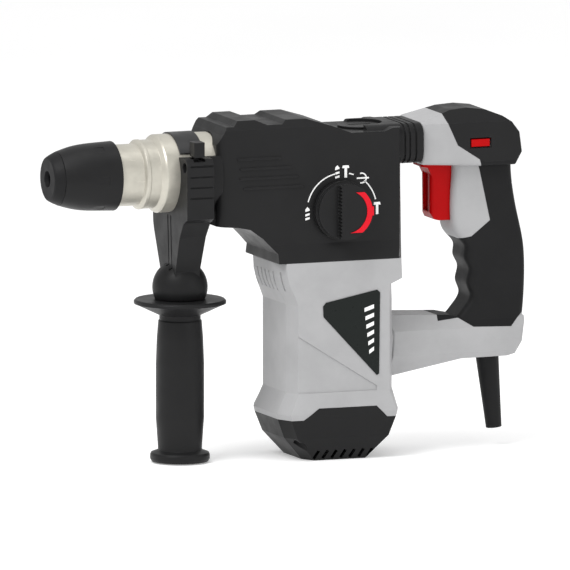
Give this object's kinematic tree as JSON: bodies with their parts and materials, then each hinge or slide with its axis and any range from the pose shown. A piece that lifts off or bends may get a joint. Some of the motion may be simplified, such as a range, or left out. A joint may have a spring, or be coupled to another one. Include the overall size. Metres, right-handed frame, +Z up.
{
  "type": "rotary hammer",
  "caption": "Corded rotary hammer with upright motor, D handle, side handle and mode knob; its chuck, controls, gear train and hammer mechanism move.",
  "frame": {"origin": "centre of the mouth of the bit socket", "axes": "+X back along the tool axis to the rear handle, +Y to the tool's right, +Z up"},
  "size_m": [0.3794, 0.0846, 0.2604],
  "materials": {
    "black_plastic": "fine-textured moulded plastic",
    "grey_plastic": "fine-textured moulded plastic",
    "red_plastic": "smooth moulded plastic",
    "pointer_red": "smooth moulded plastic",
    "white_print": "pad-printed paint",
    "label_film": "satin film",
    "rubber": "soft-touch rubber",
    "collar_metal": "turned and bead-blasted casting",
    "cast_aluminium": "raw die casting",
    "steel": "ground steel",
    "dark_steel": "blackened steel",
    "brass": "drawn brass",
    "copper": "enamelled copper wire",
    "carbon": "pressed carbon"
  },
  "bodies": {
    "housing": {"front_barrel": "collar_metal", "front_seal": "rubber", "spindle_bearings": "steel", "gear_case": "cast_aluminium", "gearbox_housing": "black_plastic", "grease_cap": "black_plastic", "dial_marks": "white_print", "motor_housing": "grey_plastic", "motor_cover": "black_plastic", "cover_screws": "dark_steel", "label_plate": "label_film", "stator_core": "dark_steel", "field_coils": "copper", "motor_bearings": "steel", "bearing_bracket": "cast_aluminium", "brush_holders": "brass", "carbon_brushes": "carbon", "shaft_bearings": "steel", "handle_shell_left": "grey_plastic", "handle_shell_right": "grey_plastic", "handle_cap": "black_plastic", "grip_rubber": "rubber", "handle_screws": "dark_steel", "switch_body": "black_plastic", "cord_boot": "rubber", "trigger_spring": "steel"},
    "armature": {"armature_shaft": "steel", "armature_core": "dark_steel", "armature_windings": "copper", "commutator": "copper", "fan": "black_plastic"},
    "crank": {"crank_gear": "steel"},
    "intermediate": {"layshaft": "steel"},
    "spindle_unit": {"spindle": "steel", "tool_holder": "steel", "dust_cap": "rubber", "bevel_gear": "steel", "clutch_spring": "steel", "chuck_spring": "steel"},
    "mode_ring": {"mode_sleeve": "steel"},
    "sleeve": {"chuck_sleeve": "black_plastic", "lock_ring": "steel"},
    "ball_left": {"locking_ball_left": "steel"},
    "ball_right": {"locking_ball_right": "steel"},
    "impact_bolt_body": {"impact_bolt": "steel"},
    "striker_body": {"striker": "steel"},
    "piston_unit": {"piston": "cast_aluminium", "piston_pin": "steel"},
    "rod": {"connecting_rod": "cast_aluminium"},
    "fork": {"shift_fork": "steel"},
    "knob": {"mode_knob": "black_plastic", "knob_pointer": "pointer_red"},
    "trigger_lever": {"trigger": "red_plastic"},
    "lock": {"lock_button": "red_plastic"},
    "side_handle": {"handle_clamp": "black_plastic", "clamp_strap": "dark_steel", "clamp_bolt": "steel"},
    "washer": {"thrust_washer": "steel"},
    "grip": {"side_grip": "black_plastic"},
    "depth_release": {"depth_button": "black_plastic"}
  },
  "joints": [
    {"name": "armature_spin", "type": "hinge", "parent": "housing", "child": "armature", "pos_m": [0.217, 0, -0.1], "axis": [0, 0, 1], "continuous": true},
    {"name": "crank_spin", "type": "hinge", "parent": "housing", "child": "crank", "pos_m": [0.2379, 0, -0.02], "axis": [0, 0, 1], "continuous": true},
    {"name": "intermediate_spin", "type": "hinge", "parent": "housing", "child": "intermediate", "pos_m": [0.1961, 0, -0.03], "axis": [0, 0, 1], "continuous": true},
    {"name": "spindle_spin", "type": "hinge", "parent": "housing", "child": "spindle_unit", "pos_m": [0.1, 0, 0], "axis": [1, 0, 0], "continuous": true},
    {"name": "mode_ring_shift", "type": "slide", "parent": "spindle_unit", "child": "mode_ring", "axis": [-1, 0, 0], "range_m": [0, 0.008]},
    {"name": "sleeve_pull", "type": "slide", "parent": "spindle_unit", "child": "sleeve", "axis": [1, 0, 0], "range_m": [0, 0.007], "stiffness_N_per_m": 1500, "springref_m": -0.005, "deforming": ["chuck_spring"]},
    {"name": "ball_left_lift", "type": "slide", "parent": "spindle_unit", "child": "ball_left", "axis": [0, -1, 0], "range_m": [0, 0.0014]},
    {"name": "ball_right_lift", "type": "slide", "parent": "spindle_unit", "child": "ball_right", "axis": [0, 1, 0], "range_m": [0, 0.0014]},
    {"name": "impact_bolt_slide", "type": "slide", "parent": "spindle_unit", "child": "impact_bolt_body", "axis": [1, 0, 0], "range_m": [-0.0025, 0]},
    {"name": "striker_slide", "type": "slide", "parent": "spindle_unit", "child": "striker_body", "axis": [1, 0, 0], "range_m": [-0.0015, 0.009]},
    {"name": "piston_stroke", "type": "slide", "parent": "housing", "child": "piston_unit", "axis": [-1, 0, 0], "range_m": [0, 0.02]},
    {"name": "rod_swing", "type": "hinge", "parent": "piston_unit", "child": "rod", "pos_m": [0.1739, 0, 0], "axis": [0, 0, 1], "range_deg": [-7.5, 7.5]},
    {"name": "mode_knob_turn", "type": "hinge", "parent": "housing", "child": "knob", "pos_m": [0.217, -0.036, -0.0305], "axis": [0, -1, 0], "range_deg": [0, 180]},
    {"name": "fork_shift", "type": "slide", "parent": "housing", "child": "fork", "axis": [-1, 0, 0], "range_m": [0, 0.008]},
    {"name": "trigger_press", "type": "slide", "parent": "housing", "child": "trigger_lever", "axis": [1, 0, 0], "range_m": [0, 0.006], "stiffness_N_per_m": 1500, "springref_m": -0.003, "deforming": ["trigger_spring"]},
    {"name": "lock_button_press", "type": "slide", "parent": "housing", "child": "lock", "axis": [0, 1, 0], "range_m": [0, 0.004], "stiffness_N_per_m": 800, "springref_m": -0.003},
    {"name": "side_handle_swing", "type": "hinge", "parent": "housing", "child": "side_handle", "pos_m": [0.0988, 0, 0], "axis": [1, 0, 0], "continuous": true},
    {"name": "washer_travel", "type": "slide", "parent": "side_handle", "child": "washer", "axis": [0, 0, -1], "range_m": [0, 0.0025]},
    {"name": "side_grip_twist", "type": "hinge", "parent": "washer", "child": "grip", "pos_m": [0.0988, 0, -0.15], "axis": [0, 0, 1], "range_deg": [0, 720]},
    {"name": "depth_button_press", "type": "slide", "parent": "side_handle", "child": "depth_release", "axis": [0, 0, -1], "range_m": [0, 0.003], "stiffness_N_per_m": 800, "springref_m": -0.003}
  ],
  "couplings": [
    {"joint": "crank_spin", "follows": "armature_spin", "ratio": -0.18919},
    {"joint": "intermediate_spin", "follows": "armature_spin", "ratio": -0.18919},
    {"joint": "spindle_spin", "follows": "armature_spin", "ratio": 0.063063},
    {"joint": "ball_left_lift", "follows": "sleeve_pull", "ratio": 0.2},
    {"joint": "ball_right_lift", "follows": "sleeve_pull", "ratio": 0.2},
    {"joint": "mode_ring_shift", "follows": "mode_knob_turn", "m_per_rad": 0.0025465},
    {"joint": "fork_shift", "follows": "mode_knob_turn", "m_per_rad": 0.0025465},
    {"joint": "washer_travel", "follows": "side_grip_twist", "m_per_rad": 0.00019894}
  ]
}
